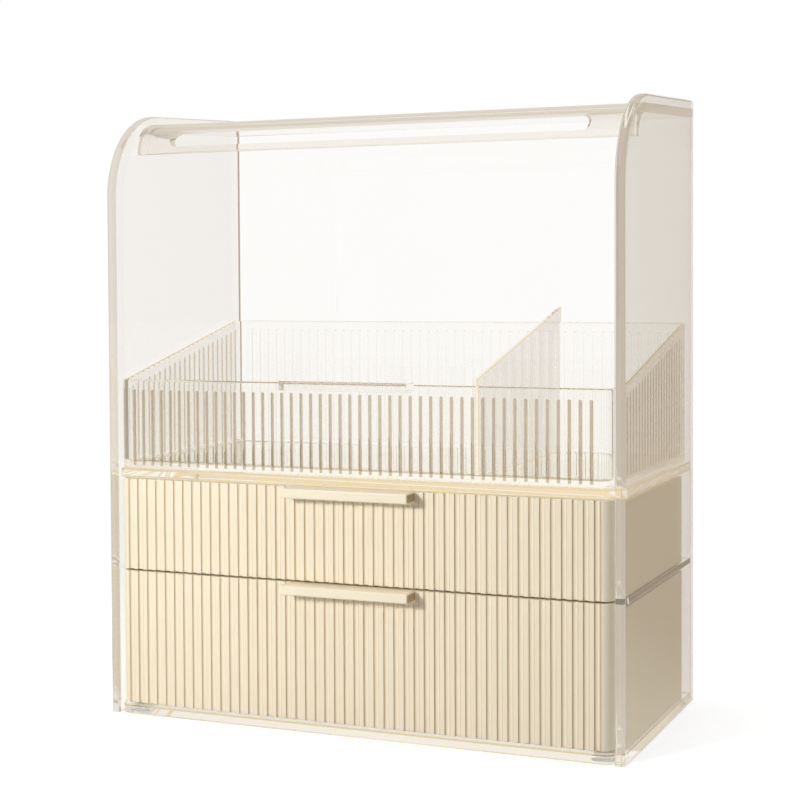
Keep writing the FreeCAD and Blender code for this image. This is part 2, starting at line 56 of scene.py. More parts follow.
CASE_TOP = 348.97 * MM         # top back corner of a side panel
TOP_SLOPE = 0.06               # fall of the side panels' top edge towards the front
SLOPE_ANGLE = math.atan(TOP_SLOPE)
COVER_DOWN = 5 * MM            # side panels' top edge to the cover's top
COVER_THICK = 5 * MM
ROLL_RADIUS = 18.5 * MM        # outside of the cover's rolled front
ROLL_STEPS = 24
LIP_SETBACK = 25 * MM          # side panels' front edge to the face of the lip
LIP_ROUND = 1.5 * MM
SLOT_RAIL = 4 * MM             # strip of the lip under the hand slot
SLOT_HEIGHT = 7.5 * MM
SLOT_HALF = 124 * MM           # half of the slot's length
SLOT_STEPS = 36
SLOT_ROUND = 0.6 * MM
SLOT_BEFORE = 2 * MM           # how far before the lip the slot's cut starts

PANEL_CURVE = 50 * MM          # radius of the side panels' front curve
CURVE_STEPS = 36
POST_BAND = 9 * MM             # band behind their polished front rim, painted a slightly deeper shade
PANEL_BACK_CORNER = 3 * MM
PANEL_POLISH = 1.8 * MM        # rounding of their polished edges
TONGUE_START = 8 * MM          # front of a plate to its tongues in the side panels
PLATE_CORNER = 6 * MM          # front corners of the tray's shelf and of the base
BACK_POLISH = 0.4 * MM
PAD_RADIUS = 6 * MM
PAD_ROUND = 0.6 * MM

FLUTE_PITCH = 5.78 * MM        # upright flutes of the fronts and ribs of the tray
FLUTE_HALF = 1.6 * MM
FLUTE_DEEP = 1.1 * MM
FLUTE_SHADE = 0.65             # how much painted shade browns the steep walls of the flutes, from 0 to 1
FRONT_CORNER = 7.5 * MM
FRONT_EDGE = 0.6 * MM          # rounding of the fronts' upper and lower edges
PULL_ROUND = 0.8 * MM
# painted shade on the pulls' end faces, from 0 to 1
PULL_END_SHADE = 0.85
BOX_WALL = 2.5 * MM
BOX_CORNER = 4 * MM
BOX_ROUND = 1.5 * MM           # rounding of the hollow's corners
BOX_EDGE = 0.4 * MM
SCREW_HEAD = 1.9 * MM          # radius
SCREW_SHANK = 1.0 * MM         # radius

RIB_HALF = 0.95 * MM
RIB_DEEP = 0.8 * MM
LAND_CROWN = 0.3 * MM          # fall from the middle of a land to its edges
TRAY_CORNER = 8 * MM
TRAY_WALL = 2.5 * MM
TRAY_FLOOR = 3 * MM
TRAY_FRONT_RIM = 50 * MM       # height of the front wall
RISE_START = 9 * MM            # front wall to where the side rims start to rise
DIVIDER_PLAY = 0.3 * MM
DIVIDER_TAB = 3.3 * MM         # height of its tab over the front rim
DIVIDER_POLISH = 0.35 * MM

CAMERA_PLACE = (0.373841, -0.886315, 0.245872)
CAMERA_YAW = math.radians(22.827)
CAMERA_PITCH = math.radians(1.912)
CAMERA_ROLL = math.radians(-0.286)
CAMERA_LENS = 76.228
CAMERA_SHIFT = (-0.00187, -0.07818)


# ---------------------------------------------------------------- shader maths
class Num:
    """A number socket of a finish; sums with it add Math nodes, also where it stands second."""

    def __init__(self, finish, socket):
        self.finish = finish
        self.socket = socket

    def maths(self, operation, first, second):
        return Num(self.finish, self.finish.add("ShaderNodeMath", {"operation": operation},
                                                {0: first, 1: second}).outputs[0])

    def __add__(self, other):
        return self.maths("ADD", self, other)

    def __radd__(self, other):
        return self.maths("ADD", other, self)

    def __mul__(self, other):
        return self.maths("MULTIPLY", self, other)

    def __rmul__(self, other):
        return self.maths("MULTIPLY", other, self)

    def __gt__(self, other):
        return self.maths("GREATER_THAN", self, other)

    def __lt__(self, other):
        return self.maths("LESS_THAN", self, other)


class Finish:
    """A material, or the world, with its node tree."""

    def __init__(self, owner):
        self.owner = owner
        owner.use_nodes = True
        self.tree = owner.node_tree
        self.tree.nodes.clear()

    def add(self, kind, settings=None, values=None):
        """Node of one type: its settings first, then the values or links of its sockets."""
        node = self.tree.nodes.new(kind)
        for name, setting in (settings or {}).items():
            if name == "stops":
                self.set_stops(node.color_ramp, setting)
            else:
                setattr(node, name, setting)
        for name, value in (values or {}).items():
            self.feed(node.inputs[name], value)
        return node

    def feed(self, socket, value):
        if isinstance(value, Num):
            value = value.socket
        if isinstance(value, bpy.types.NodeSocket):
            self.tree.links.new(value, socket)
        elif isinstance(value, bpy.types.Node):
            self.tree.links.new(value.outputs[0], socket)
        else:
            socket.default_value = value

    @staticmethod
    def set_stops(ramp, stops):
        while len(ramp.elements) > 1:
            ramp.elements.remove(ramp.elements[-1])
        for i, (place, colour) in enumerate(stops):
            stop = ramp.elements[0] if i == 0 else ramp.elements.new(place)
            stop.position = place
            stop.color = (*colour, 1)

    def num(self, node, output=0):
        return Num(self, node.outputs[output])

    def place(self, scale=(1, 1, 1)):
        """Object coordinates, scaled."""
        where = self.add("ShaderNodeTexCoord")
        return self.add("ShaderNodeMapping", {}, {"Vector": where.outputs["Object"], "Scale": scale})

    def noise(self, scale, detail, stretch=(1, 1, 1)):
        return self.num(self.add("ShaderNodeTexNoise", {}, {
            "Vector": self.place(stretch), "Scale": scale, "Detail": detail}))

    def mix(self, factor, first, second, way="MIX"):
        """Colour mixed from two colours or colour sockets."""
        node = self.add("ShaderNodeMix", {"data_type": "RGBA", "blend_type": way})
        for socket, value in zip((node.inputs[0], node.inputs[6], node.inputs[7]), (factor, first, second)):
            self.feed(socket, value)
        return node.outputs[2]

    def between(self, factor, low, high):
        """Colour between two colours."""
        return self.mix(factor, (*low, 1), (*high, 1))

    def ramp(self, factor, *stops):
        return self.add("ShaderNodeValToRGB", {"stops": stops}, {0: factor}).outputs[0]

    def seen_background(self):
        """One where the camera, a reflection or a view through clear plastic sees this."""
        path = self.add("ShaderNodeLightPath")
        seen = Num(self, path.outputs["Is Camera Ray"])
        for way in ("Is Glossy Ray", "Is Transmission Ray"):
            seen = seen.maths("MAXIMUM", seen, Num(self, path.outputs[way]))
        return seen


def material(name):
    return Finish(bpy.data.materials.new(name))


def clear_acrylic(name, pale, deep, edge):
    """Polished tinted acrylic that lets lamps through.

    pale and deep are the ends of its faint clouds. Where a ray was mirrored inside it three times, it shows
    a painted glow in the colour edge, mixed with what lies straight on, in place of further bounces.
    """
    f = material(name)
    cloud = f.noise(14.0, 2.0)
    smudge = f.noise(55.0, 3.0)
    ripple = f.noise(9.0, 1.0)
    clear = f.add("ShaderNodeBsdfPrincipled", {}, {
        "Base Color": f.between(cloud, pale, deep),
        "Roughness": smudge * 0.01 + 0.004,
        "IOR": 1.49,
        "Transmission Weight": 1.0,
        "Normal": f.add("ShaderNodeBump", {}, {"Strength": 0.02, "Distance": 0.0004, "Height": ripple}),
    })
    through = f.add("ShaderNodeBsdfTransparent", {}, {"Color": (0.975, 0.968, 0.95, 1)})
    leak = f.add("ShaderNodeBsdfTransparent", {}, {"Color": (0.97, 0.955, 0.92, 1)})
    # painted glow: an emission in place of further inner bounces
    glow = f.add("ShaderNodeEmission", {}, {"Color": (*edge, 1), "Strength": 1.0})
    path = f.add("ShaderNodeLightPath")
    trapped = Num(f, path.outputs["Glossy Depth"]) > 2.5
    escape = f.add("ShaderNodeMixShader", {}, {0: 0.55, 1: leak, 2: glow})
    edges = f.add("ShaderNodeMixShader", {}, {0: trapped, 1: clear, 2: escape})
    mix = f.add("ShaderNodeMixShader", {}, {0: path.outputs["Is Shadow Ray"], 1: edges, 2: through})
    f.add("ShaderNodeOutputMaterial", {}, {"Surface": mix})
    return f.owner


def cream_plastic(name):
    """Satin moulded plastic with a faint warm mottle, and painted shade that browns the flutes' steep walls
    and the pulls' ends.
    """
    f = material(name)
    mottle = f.noise(18.0, 3.0)
    grain = f.noise(1600.0, 2.0)
    wear = f.noise(60.0, 4.0)
    # painted shade: the attribute browns the cream, most at its full value
    painted_shade = f.add("ShaderNodeAttribute", {"attribute_name": "painted_shade"}).outputs["Fac"]
    shade = f.ramp(painted_shade, (0.0, (1, 1, 1)), (0.5, (0.82, 0.72, 0.60)), (1.0, (0.46, 0.35, 0.25)))
    cream = f.between(mottle, (0.875, 0.785, 0.605), (0.91, 0.82, 0.645))
    body = f.add("ShaderNodeBsdfPrincipled", {}, {
        "Base Color": f.mix(1.0, cream, shade, "MULTIPLY"),
        "Roughness": wear * 0.12 + 0.36,
        "IOR": 1.46,
        "Normal": f.add("ShaderNodeBump", {}, {"Strength": 0.08, "Distance": 0.0001, "Height": grain}),
    })
    f.add("ShaderNodeOutputMaterial", {}, {"Surface": body})
    return f.owner


def silicone(name):
    """Cloudy silicone that lets most of the light through."""
    f = material(name)
    cloud = f.noise(90.0, 2.0)
    body = f.add("ShaderNodeBsdfPrincipled", {}, {
        "Base Color": f.between(cloud, (0.84, 0.83, 0.80), (0.90, 0.89, 0.86)),
        "Roughness": cloud * 0.1 + 0.3,
        "IOR": 1.41,
        "Transmission Weight": 0.85,
    })
    f.add("ShaderNodeOutputMaterial", {}, {"Surface": body})
    return f.owner


def plated_steel(name):
    f = material(name)
    brushed = f.noise(900.0, 2.0, stretch=(1, 1, 6))
    body = f.add("ShaderNodeBsdfPrincipled", {}, {
        "Base Color": f.between(brushed, (0.55, 0.55, 0.56), (0.68, 0.68, 0.68)),
        "Roughness": brushed * 0.2 + 0.22,
        "Metallic": 1.0,
    })
    f.add("ShaderNodeOutputMaterial", {}, {"Surface": body})
    return f.owner


# the third colour of each is its painted glow, shown where a ray was mirrored inside three times
PANEL_ACRYLIC = clear_acrylic("champagne_acrylic", (0.975, 0.965, 0.94), (0.965, 0.95, 0.92),
                              (0.70, 0.65, 0.57))
# painted shade: the rounded rims are tinted deeper than the panel
RIM_SHADE_ACRYLIC = clear_acrylic("polished_rim_painted_shade_acrylic", (0.92, 0.89, 0.83), (0.88, 0.84, 0.77),
                            (0.56, 0.51, 0.43))
# painted shade: a slightly deeper tint on the band behind the panels' front rim
POST_SHADE_ACRYLIC = clear_acrylic("post_painted_shade_acrylic", (0.94, 0.915, 0.88), (0.925, 0.895, 0.855),
                             (0.50, 0.45, 0.38))
COVER_ACRYLIC = clear_acrylic("rolled_cover_acrylic", (0.935, 0.91, 0.865), (0.915, 0.885, 0.835),
                              (0.74, 0.69, 0.61))
PLATE_ACRYLIC = clear_acrylic("clear_plate_acrylic", (0.985, 0.978, 0.962), (0.975, 0.966, 0.948),
                              (1.0, 0.99, 0.965))
TRAY_ACRYLIC = clear_acrylic("tray_acrylic", (0.985, 0.978, 0.96), (0.975, 0.965, 0.945),
                             (0.99, 0.96, 0.87))
# painted reflection: saturated amber lines on polished edges, for the light they catch
AMBER_GLINT_ACRYLIC = clear_acrylic("painted_amber_glint_acrylic", (0.80, 0.58, 0.24), (0.72, 0.48, 0.15),
                             (0.84, 0.60, 0.24))
# painted reflection: a paler amber glint for the plates' lower front edges
PALE_GLINT_ACRYLIC = clear_acrylic("painted_pale_glint_acrylic", (0.92, 0.74, 0.38), (0.86, 0.64, 0.26),
                                  (0.84, 0.60, 0.24))
# painted reflection: brown stands in for the dark things the ribs' hollows refract
RIB_DARK_REFRACTION_ACRYLIC = clear_acrylic("tray_rib_painted_refraction_acrylic", (0.46, 0.36, 0.22), (0.36, 0.27, 0.15),
                            (0.78, 0.74, 0.64))
# painted shade: near-black edges that stand in for the dark gap between the drawers
PAINTED_SHADE_ACRYLIC = clear_acrylic("painted_shade_edge_acrylic", (0.05, 0.04, 0.03), (0.03, 0.025, 0.02),
                               (0.04, 0.03, 0.02))
CREAM = cream_plastic("cream_plastic")
SILICONE = silicone("clear_silicone")
STEEL = plated_steel("plated_steel")


# ---------------------------------------------------------------- making pieces
def bevel(bm, geom, offset, segments, affect="EDGES"):
    return bmesh.ops.bevel(bm, geom=geom, offset=offset, segments=segments, profile=0.5,
                           affect=affect, offset_type="OFFSET", material=-1, clamp_overlap=True)


def flat_face(bm, points):
    """One flat face from a few corners."""
    return bm.faces.new([bm.verts.new(p) for p in points])


def push_out(bm, faces, vector):
    """Solid from flat faces, pushed out along a vector."""
    made = bmesh.ops.extrude_face_region(bm, geom=faces)["geom"]
    bmesh.ops.translate(bm, vec=vector, verts=[g for g in made if isinstance(g, bmesh.types.BMVert)])
    bmesh.ops.recalc_face_normals(bm, faces=bm.faces)


def block(bm, low, high):
    """Box between two corners."""
    low, high = Vector(low), Vector(high)
    made = bmesh.ops.create_cube(bm, size=1.0)["verts"]
    bmesh.ops.scale(bm, vec=high - low, verts=made)
    bmesh.ops.translate(bm, vec=(low + high) / 2, verts=made)


def corners(bm):
    """Edges that turn sharply."""
    return [e for e in bm.edges if e.is_manifold and e.calc_face_angle() > CORNER]


def grow(bm, edge, move):
    """Face from an edge to where a function moves its ends; gives back the edge there."""
    grown = bmesh.ops.extrude_edge_only(bm, edges=[edge])["geom"]
    ends = [g for g in grown if isinstance(g, bmesh.types.BMVert)]
    for v in ends:
        v.co = move(v.co)
    return [g for g in grown if isinstance(g, bmesh.types.BMEdge) and all(v in ends for v in g.verts)][0]


def as_object(bm, name):
    for face in bm.faces:
        face.smooth = True
    mesh = bpy.data.meshes.new(name)
    bm.to_mesh(mesh)
    bm.free()
    made = bpy.data.objects.new(name, mesh)
    bpy.context.scene.collection.objects.link(made)
    return made


def cut_away(bm, cutters):
    """The solid in bm less each of the cutters."""
    solid = as_object(bm, "solid")
    tools = [as_object(c, "cutter") for c in cutters]
    for tool in tools:
        step = solid.modifiers.new("cut", "BOOLEAN")
        step.operation = "DIFFERENCE"
        step.solver = "EXACT"
        step.object = tool
    result = bpy.data.meshes.new_from_object(
        solid.evaluated_get(bpy.context.evaluated_depsgraph_get()))
    out = bmesh.new()
    out.from_mesh(result)
    for thing in [solid] + tools:
        old = thing.data
        bpy.data.objects.remove(thing)
        bpy.data.meshes.remove(old)
    bpy.data.meshes.remove(result)
    return out


def lay(bm, name, body, finishes, nodes):
    """Finish a piece: it rides on a body and stands for its CAD nodes."""
    piece = as_object(bm, name)
    piece.data.set_sharp_from_angle(angle=SHARP)
    for finish in finishes:
        piece.data.materials.append(finish)
    even = piece.modifiers.new("flat faces", "WEIGHTED_NORMAL")
    even.keep_sharp = True
    even.weight = 90
    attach(piece, body)
    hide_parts(*nodes)


def top_line(y, down=0.0):
    """Height of a line that lies down under the side panels' sloping top edge."""
    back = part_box("left_side_panel")[1].y
    return CASE_TOP - down / math.cos(SLOPE_ANGLE) - TOP_SLOPE * (back - y)


# ---------------------------------------------------------------- casing
def cover_prism(half, wider=0.0, past=0.0):
    """Plate that slopes down from the back and rolls over into an upright lip; also the lip's lower end.

    It reaches half to each side. A cutting tool for its seat is wider all round and goes past the back.
    """
    lip_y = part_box("left_side_panel")[0].y + LIP_SETBACK
    back_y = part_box("left_side_panel")[1].y + past
    roll_y = lip_y + ROLL_RADIUS
    lip_low = top_line(roll_y, COVER_DOWN) - ROLL_RADIUS / math.cos(SLOPE_ANGLE)
    bm = bmesh.new()
    inner = bm.verts.new((-half, lip_y + COVER_THICK + wider, lip_low - wider))
    outer = bm.verts.new((-half, lip_y - wider, lip_low - wider))
    edge = bm.edges.new((inner, outer))
    if wider:
        edge = grow(bm, edge, lambda co: Vector((co.x, co.y, lip_low)))
    step = Matrix.Rotation(-(math.pi / 2 - SLOPE_ANGLE) / ROLL_STEPS, 4, "X")
    centre = Matrix.Translation((0, roll_y, lip_low))
    turn = centre @ step @ centre.inverted()
    for _ in range(ROLL_STEPS):
        edge = grow(bm, edge, lambda co: turn @ co)
    grow(bm, edge, lambda co: co + (back_y - co.y) * Vector((0, 1, TOP_SLOPE)))
    bmesh.ops.dissolve_faces(bm, faces=list(bm.faces))
    push_out(bm, list(bm.faces), Vector((2 * half, 0, 0)))
    return bm, lip_low


def top_cover():
    """Cover whose rolled lip, pierced by a long slot, is the carrying handle."""
    bm, lip_low = cover_prism(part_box("top_cover")[1].x)
    lip_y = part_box("left_side_panel")[0].y + LIP_SETBACK
    slot = bmesh.new()
    radius = SLOT_HEIGHT / 2
    ring = bmesh.ops.create_circle(slot, cap_ends=True, segments=SLOT_STEPS, radius=radius)["verts"]
    half_step = Matrix.Rotation(math.pi / SLOT_STEPS, 3, "Z")
    bmesh.ops.rotate(slot, cent=(0, 0, 0), matrix=half_step, verts=ring)
    for v in ring:
        v.co.x += math.copysign(SLOT_HALF - radius, v.co.x)
    bmesh.ops.rotate(slot, cent=(0, 0, 0), matrix=Matrix.Rotation(math.pi / 2, 3, "X"), verts=ring)
    bmesh.ops.translate(slot, vec=(0, lip_y - SLOT_BEFORE, lip_low + SLOT_RAIL + radius), verts=ring)
    push_out(slot, list(slot.faces), Vector((0, ROLL_RADIUS + SLOT_BEFORE, 0)))
    bm = cut_away(bm, [slot])
    foot = [e for e in corners(bm) if all(v.co.z < lip_low + NEAR for v in e.verts)
            and abs(e.verts[0].co.x - e.verts[1].co.x) > MM]
    bevel(bm, foot, LIP_ROUND, 5)
    slot_rims = [e for e in corners(bm)
                 if all(abs(v.co.x) < SLOT_HALF + MM
                        and lip_low + SLOT_RAIL - MM < v.co.z < lip_low + ROLL_RADIUS for v in e.verts)]
    bevel(bm, slot_rims, SLOT_ROUND, 4)
    bmesh.ops.dissolve_degenerate(bm, dist=0.001 * MM, edges=list(bm.edges))
    lay(bm, "rolled_top_cover", "casing", [COVER_ACRYLIC], ["top_cover"])


def side_panel(side, name):
    """Thick clear side with a big front curve, polished round edges and grooves for the plates."""
    low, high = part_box(name)
    inner, outer = (low.x, high.x) if side > 0 else (high.x, low.x)
    centre = Vector((inner, low.y + PANEL_CURVE, top_line(low.y + PANEL_CURVE, PANEL_CURVE)))
    turn = math.pi / 2 - SLOPE_ANGLE
    bm = bmesh.new()
    foot = [bm.verts.new((inner, low.y + set_in, low.z)) for set_in in (0.0, POST_BAND)]
    top = grow(bm, bm.edges.new(foot), lambda co: Vector((co.x, co.y, centre.z)))
    bmesh.ops.spin(bm, geom=[top] + list(top.verts), cent=centre, axis=(-1, 0, 0), angle=turn,
                   steps=CURVE_STEPS)

    def behind_band(v):
        """Whether a corner lies on the back line of the band along the front rim."""
        if v.co.z < centre.z + NEAR:
            return v.co.y > low.y + NEAR
        return (v.co - centre).length < PANEL_CURVE - NEAR

    rim_end = max(bm.verts, key=lambda v: v.co.z)
    outline = [e for e in bm.edges if e.is_boundary and all(v is rim_end or behind_band(v) for v in e.verts)]
    corner = bm.verts.new((inner, high.y, CASE_TOP))
    back_foot = bm.verts.new((inner, high.y, low.z))
    for ends in ((rim_end, corner), (corner, back_foot), (back_foot, foot[1])):
        outline.append(bm.edges.new(ends))
    bmesh.ops.edgeloop_fill(bm, edges=outline)
    bevel(bm, [corner], PANEL_BACK_CORNER, 6, "VERTICES")
    push_out(bm, list(bm.faces), Vector((outer - inner, 0, 0)))
    rims = [e for e in bm.edges if abs(e.verts[0].co.x - e.verts[1].co.x) < NEAR
            and max(v.co.z for v in e.verts) > low.z + MM
            and any(abs(face.normal.x) < 0.5 for face in e.link_faces)]
    bevel(bm, rims, PANEL_POLISH, 5)
    tools = []
    for node, drop in (("base_plate", 1 * MM), ("drawer_shelf", JOINT_GAP), ("tray_shelf", JOINT_GAP)):
        plate_low, plate_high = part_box(node)
        tool = bmesh.new()
        front_y = plate_low.y if node == "drawer_shelf" else plate_low.y + TONGUE_START
        block(tool, (-plate_high.x - JOINT_GAP, front_y - JOINT_GAP, plate_low.z - drop),
              (plate_high.x + JOINT_GAP, plate_high.y + JOINT_GAP, plate_high.z + JOINT_GAP))
        tools.append(tool)
    tools.append(cover_prism(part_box("top_cover")[1].x + JOINT_GAP, JOINT_GAP, OVERRUN)[0])
    bm = cut_away(bm, tools)
    # painted shade: the rounded rims take the rim finish, the band behind the front rim on the inner face
    # the post finish
    for face in bm.faces:
        face.material_index = int(0.1 < abs(face.normal.x) < 0.95 and face.normal.y < 0.3)
        middle = face.calc_center_median()
        out = Vector((0, middle.y - centre.y, middle.z - centre.z))
        in_post = middle.y < low.y + POST_BAND or (
            out.y < 0 < out.z and out.length > PANEL_CURVE - POST_BAND)
        if in_post and face.normal.x * side < -0.95:
            face.material_index = 2
    lay(bm, "curved_" + name, "casing", [PANEL_ACRYLIC, RIM_SHADE_ACRYLIC, POST_SHADE_ACRYLIC], [name])


def polished_plate(node, name, corner, polish, tongue):
    """Plate with rounded front corners, polished edges and ends let into the side panels."""
    low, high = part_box(node)
    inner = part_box("left_side_panel")[1].x
    bm = bmesh.new()
    if tongue:
        half = -inner - JOINT_GAP
        step = low.y + TONGUE_START
        points = [(-half, low.y), (half, low.y), (half, step), (high.x, step),
                  (high.x, high.y - JOINT_GAP), (low.x, high.y - JOINT_GAP), (low.x, step), (-half, step)]
    else:
        points = [(low.x, low.y), (high.x, low.y),
                  (high.x, high.y - JOINT_GAP), (low.x, high.y - JOINT_GAP)]
    face = flat_face(bm, [(x, y, low.z) for x, y in points])
    if corner:
        bevel(bm, [face.verts[0], face.verts[1]], corner, 10, "VERTICES")
    push_out(bm, list(bm.faces), Vector((0, 0, high.z - low.z)))
    flat_rims = [e for e in bm.edges if abs(e.verts[0].co.z - e.verts[1].co.z) < NEAR]
    # its polished edges get a painted amber glint
    for face in bevel(bm, flat_rims, polish, 3)["faces"]:
        face.material_index = 1
    finishes = [PLATE_ACRYLIC, AMBER_GLINT_ACRYLIC, PALE_GLINT_ACRYLIC]
    # the lower front edge gets the paler painted glint
    for face in bm.faces:
        if face.material_index and face.normal.y < -0.1 and face.normal.z < -0.1:
            face.material_index = 2
    # the drawer shelf's front and side edges get the near-black painted shade
    if not tongue:
        finishes = [PLATE_ACRYLIC, PAINTED_SHADE_ACRYLIC]
        for face in bm.faces:
            face.material_index = int(face.normal.y < -0.5 or abs(face.normal.x) > 0.5)
    lay(bm, name, "casing", finishes, [node])


def back_panel():
    low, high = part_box("back_panel")
    bm = bmesh.new()
    under = COVER_DOWN + COVER_THICK
    half = high.x - JOINT_GAP
    face = flat_face(bm, [(-half, low.y, low.z), (-half, high.y, low.z),
                          (-half, high.y, top_line(high.y, under) - JOINT_GAP),
                          (-half, low.y, top_line(low.y, under) - JOINT_GAP)])
    push_out(bm, [face], Vector((2 * half, 0, 0)))
    bevel(bm, list(bm.edges), BACK_POLISH, 3)
    lay(bm, "clear_back", "casing", [PLATE_ACRYLIC], ["back_panel"])


def foot_pads():
    """Four silicone pads with a softly rounded rim."""
    low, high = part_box("foot_pads")
    bm = bmesh.new()
    for x in (low.x + PAD_RADIUS, high.x - PAD_RADIUS):
        for y in (low.y + PAD_RADIUS, high.y - PAD_RADIUS):
            made = bmesh.ops.create_cone(bm, cap_ends=True, segments=48, radius1=PAD_RADIUS,
                                         radius2=PAD_RADIUS, depth=high.z - low.z)["verts"]
            bmesh.ops.translate(bm, vec=(x, y, (low.z + high.z) / 2), verts=made)
    rims = [e for e in bm.edges if max(v.co.z for v in e.verts) < low.z + NEAR]
    bevel(bm, rims, PAD_ROUND, 4)
    lay(bm, "silicone_pads", "casing", [SILICONE], ["foot_pads"])


# ---------------------------------------------------------------- fluted walls
def flute_depth(distance, half_width, depth):
    """Depth of a hollow flute at a distance from its middle."""
    if abs(distance) >= half_width:
        return 0.0
    radius = (half_width ** 2 + depth ** 2) / (2 * depth)
    return math.sqrt(radius ** 2 - distance ** 2) - (radius - depth)


def smooth_step(value, start, end):
    t = min(1.0, max(0.0, (value - start) / (end - start)))
    return t * t * (3 - 2 * t)


def flute_stations(first, count, pitch, half, inside_steps, start, end):
    """Places along a wall: close together inside each flute, one on each land."""
    places = {start, end}
    for i in range(count):
        middle = first + i * pitch
        for k in range(-inside_steps, inside_steps + 1):
            places.add(middle + half * math.sin(math.pi / 2 * k / inside_steps))
        places.add(middle - half - 0.15 * MM)
        places.add(middle + half + 0.15 * MM)
    return sorted(places)


def drawer_front(body, name, node):
    """Front board with hollow flutes and rounded corners; plain where the pull sits."""
    low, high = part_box(node)
    pull_low, pull_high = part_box(body + "_pull")
    flat_half = high.x - FRONT_CORNER
    count = int(2 * flat_half / FLUTE_PITCH) + 1
    first = -(count - 1) * FLUTE_PITCH / 2
    across = flute_stations(first, count, FLUTE_PITCH, FLUTE_HALF, 5, -flat_half, flat_half)
    quarter = FRONT_CORNER * math.pi / 2
    turn_steps = 10
    side_run = high.y - low.y - FRONT_CORNER
    path = ([-flat_half - quarter - side_run]
            + [-flat_half - quarter + quarter * k / turn_steps for k in range(turn_steps)]
            + across
            + [flat_half + quarter * (k + 1) / turn_steps for k in range(turn_steps)]
            + [flat_half + quarter + side_run])
    height = high.z - low.z
    rounding = [(FRONT_EDGE * (1 - math.cos(math.pi / 2 * k / 4)),
                 FRONT_EDGE * (1 - math.sin(math.pi / 2 * k / 4))) for k in range(5)]
    foot = pull_low.z - low.z
    rows = (rounding
            + [(foot - below * MM, 0.0) for below in (2.4, 1.8, 1.2, 0.6, 0.0)]
            + [(height - rise, inset) for rise, inset in reversed(rounding)])
    bm = bmesh.new()
    painted_shade = bm.verts.layers.float.new("painted_shade")
    bmesh.ops.create_grid(bm, x_segments=len(path) - 1, y_segments=len(rows) - 1, size=0.5)
    for v in bm.verts:
        u = path[round((v.co.x + 0.5) * (len(path) - 1))]
        z, inset = rows[round((v.co.y + 0.5) * (len(rows) - 1))]
        near = min(max(round((u - first) / FLUTE_PITCH), 0), count - 1)
        off = abs(u - (first + near * FLUTE_PITCH))
        sink = flute_depth(off, FLUTE_HALF, FLUTE_DEEP)
        steep = smooth_step(off, 0.5 * FLUTE_HALF, 0.93 * FLUTE_HALF) if sink else 0.0
        beside_pull = smooth_step(abs(u), pull_high.x + 0.4 * MM, pull_high.x + 0.6 * MM)
        behind_pull = (1 - beside_pull) * smooth_step(z, foot - 2.4 * MM, foot - 0.6 * MM)
        sink = sink * (1 - behind_pull)
        # painted shade on the flutes' steep walls, none behind the pull
        v[painted_shade] = FLUTE_SHADE * steep * (1 - behind_pull)
        sink += inset
        if abs(u) <= flat_half:
            v.co = Vector((u, low.y + sink, low.z + z))
        elif abs(u) <= flat_half + quarter:
            angle = (abs(u) - flat_half) / FRONT_CORNER
            reach = FRONT_CORNER - sink
            v.co = Vector((math.copysign(flat_half + reach * math.sin(angle), u),
                           low.y + FRONT_CORNER - reach * math.cos(angle), low.z + z))
        else:
            v.co = Vector((math.copysign(high.x - sink, u), high.y, low.z + z))
    rim = [e for e in bm.edges if e.is_boundary]
    for level in (low.z, high.z):
        loop = [e for e in rim if all(abs(v.co.z - level) < TOUCH for v in e.verts)]
        ends = [v for e in loop for v in e.verts if abs(v.co.y - high.y) < TOUCH]
        loop.append(bm.edges.new((min(ends, key=lambda v: v.co.x), max(ends, key=lambda v: v.co.x))))
        bmesh.ops.edgeloop_fill(bm, edges=loop)
    bmesh.ops.edgeloop_fill(bm, edges=[e for e in bm.edges if e.is_boundary])
    bmesh.ops.recalc_face_normals(bm, faces=bm.faces)
    lay(bm, name, body, [CREAM], [node])


def pull_bar(node, name, body, finish, gap):
    """Square bar with softly rounded outer edges; its flat back lies on the front."""
    low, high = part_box(node)
    bm = bmesh.new()
    block(bm, low, (high.x, high.y - gap, high.z))
    outer = [e for e in bm.edges if min(v.co.y for v in e.verts) < high.y - MM]
    bevel(bm, outer, PULL_ROUND, 4)
    # painted shade on the bar's end faces
    painted_shade = bm.verts.layers.float.new("painted_shade")
    for v in bm.verts:
        if min(v.co.x - low.x, high.x - v.co.x) < TOUCH:
            v[painted_shade] = PULL_END_SHADE
    lay(bm, name, body, [finish], [node])


def drawer_box(body, name, node):
    """Open box behind the front, notched for the screws of the pull."""
    low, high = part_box(node)
    bm = bmesh.new()
    block(bm, low, high)
    back_corners = [e for e in bm.edges if all(abs(v.co.y - high.y) < NEAR for v in e.verts)
                    and abs(e.verts[0].co.z - e.verts[1].co.z) > MM]
    bevel(bm, back_corners, BOX_CORNER, 6)
    hollow = bmesh.new()
    block(hollow, (low.x + BOX_WALL, low.y + BOX_WALL, low.z + BOX_WALL),
          (high.x - BOX_WALL, high.y - BOX_WALL, high.z + OVERRUN))
    bevel(hollow, [e for e in hollow.edges if min(v.co.z for v in e.verts) < high.z], BOX_ROUND, 4)
    screws_low, screws_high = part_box(body.replace("drawer", "pull_screws"))
    notch = bmesh.new()
    gap = 0.8 * MM
    block(notch, (screws_low.x - gap, low.y - OVERRUN, screws_low.z - gap),
          (screws_high.x + gap, low.y + BOX_WALL + MM, high.z + OVERRUN))
    bm = cut_away(bm, [hollow, notch])
    rims = [e for e in bm.edges
            if len(e.link_faces) == 2 and e.calc_face_angle(0.0) > math.radians(60)
            and min(v.co.z for v in e.verts) > high.z - 8 * MM]
    bevel(bm, rims, BOX_EDGE, 2)
    lay(bm, name, body, [CREAM], [node])


